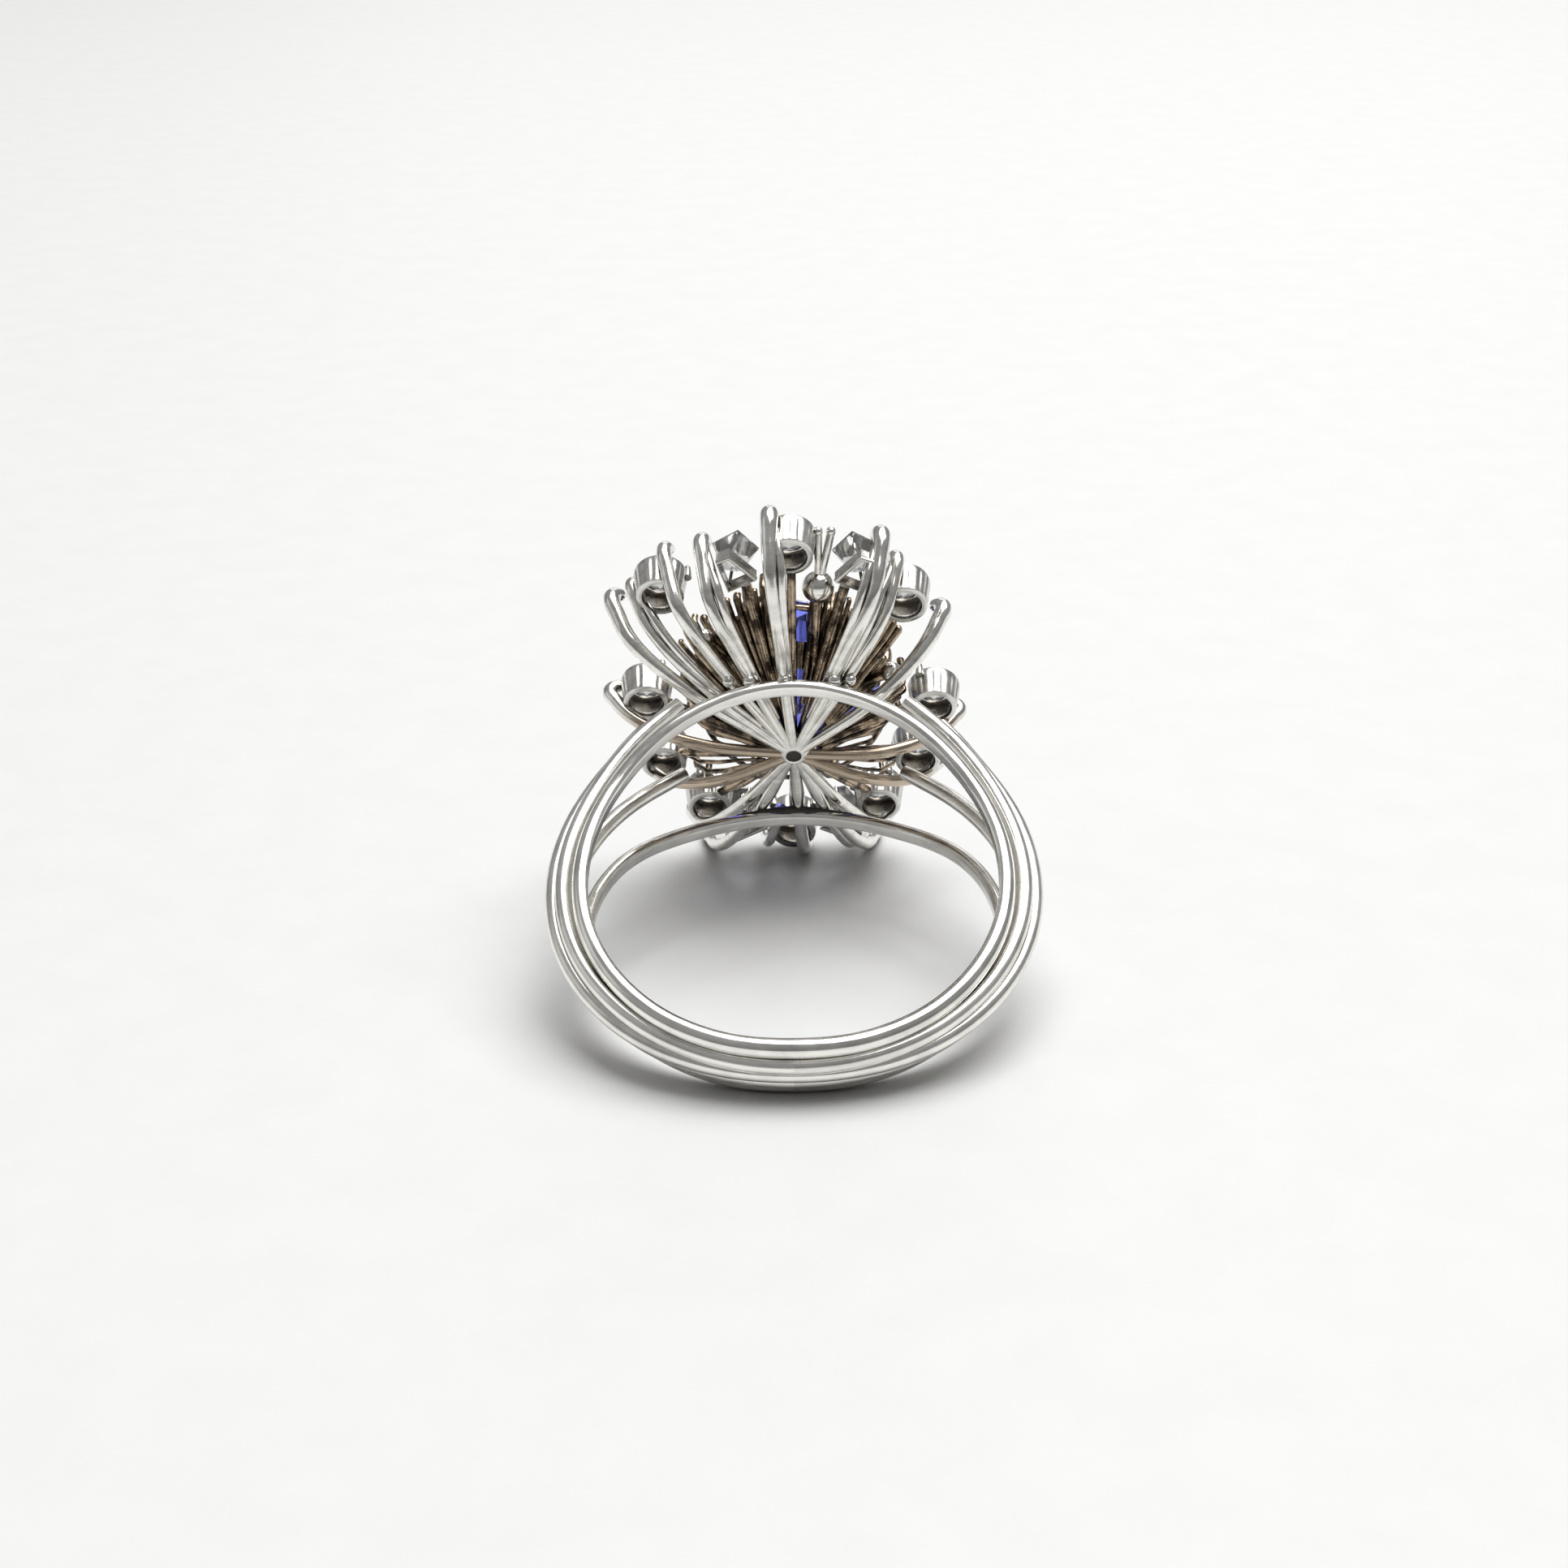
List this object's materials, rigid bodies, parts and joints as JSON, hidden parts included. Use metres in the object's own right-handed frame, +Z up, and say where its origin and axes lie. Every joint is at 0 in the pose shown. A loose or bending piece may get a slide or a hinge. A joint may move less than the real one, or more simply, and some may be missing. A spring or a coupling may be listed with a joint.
{
  "type": "cluster ring",
  "caption": "Cocktail ring of white metal wire with a split shank, a basket head with hooked claws, round and kite cut white stones round a raised oval blue stone.",
  "frame": {"origin": "on the floor, below the middle of the ring's outline seen from above, with the ring lying on its side", "axes": "+Z up from the floor, +Y from the back of the shank towards the head, +X to the right seen from the back of the shank"},
  "size_m": [0.0212, 0.026, 0.0194],
  "materials": {
    "white_metal": "polished platinum, lightly worn",
    "blue_stone": "faceted and polished",
    "white_stone": "faceted and polished"
  },
  "bodies": {
    "root": {"mount": "white_metal", "sapphire": "blue_stone", "diamond_01": "white_stone", "diamond_02": "white_stone", "diamond_03": "white_stone", "diamond_04": "white_stone", "diamond_05": "white_stone", "diamond_06": "white_stone", "diamond_07": "white_stone", "diamond_08": "white_stone", "diamond_09": "white_stone", "diamond_10": "white_stone", "diamond_11": "white_stone", "diamond_12": "white_stone", "diamond_13": "white_stone", "diamond_14": "white_stone"}
  },
  "joints": []
}
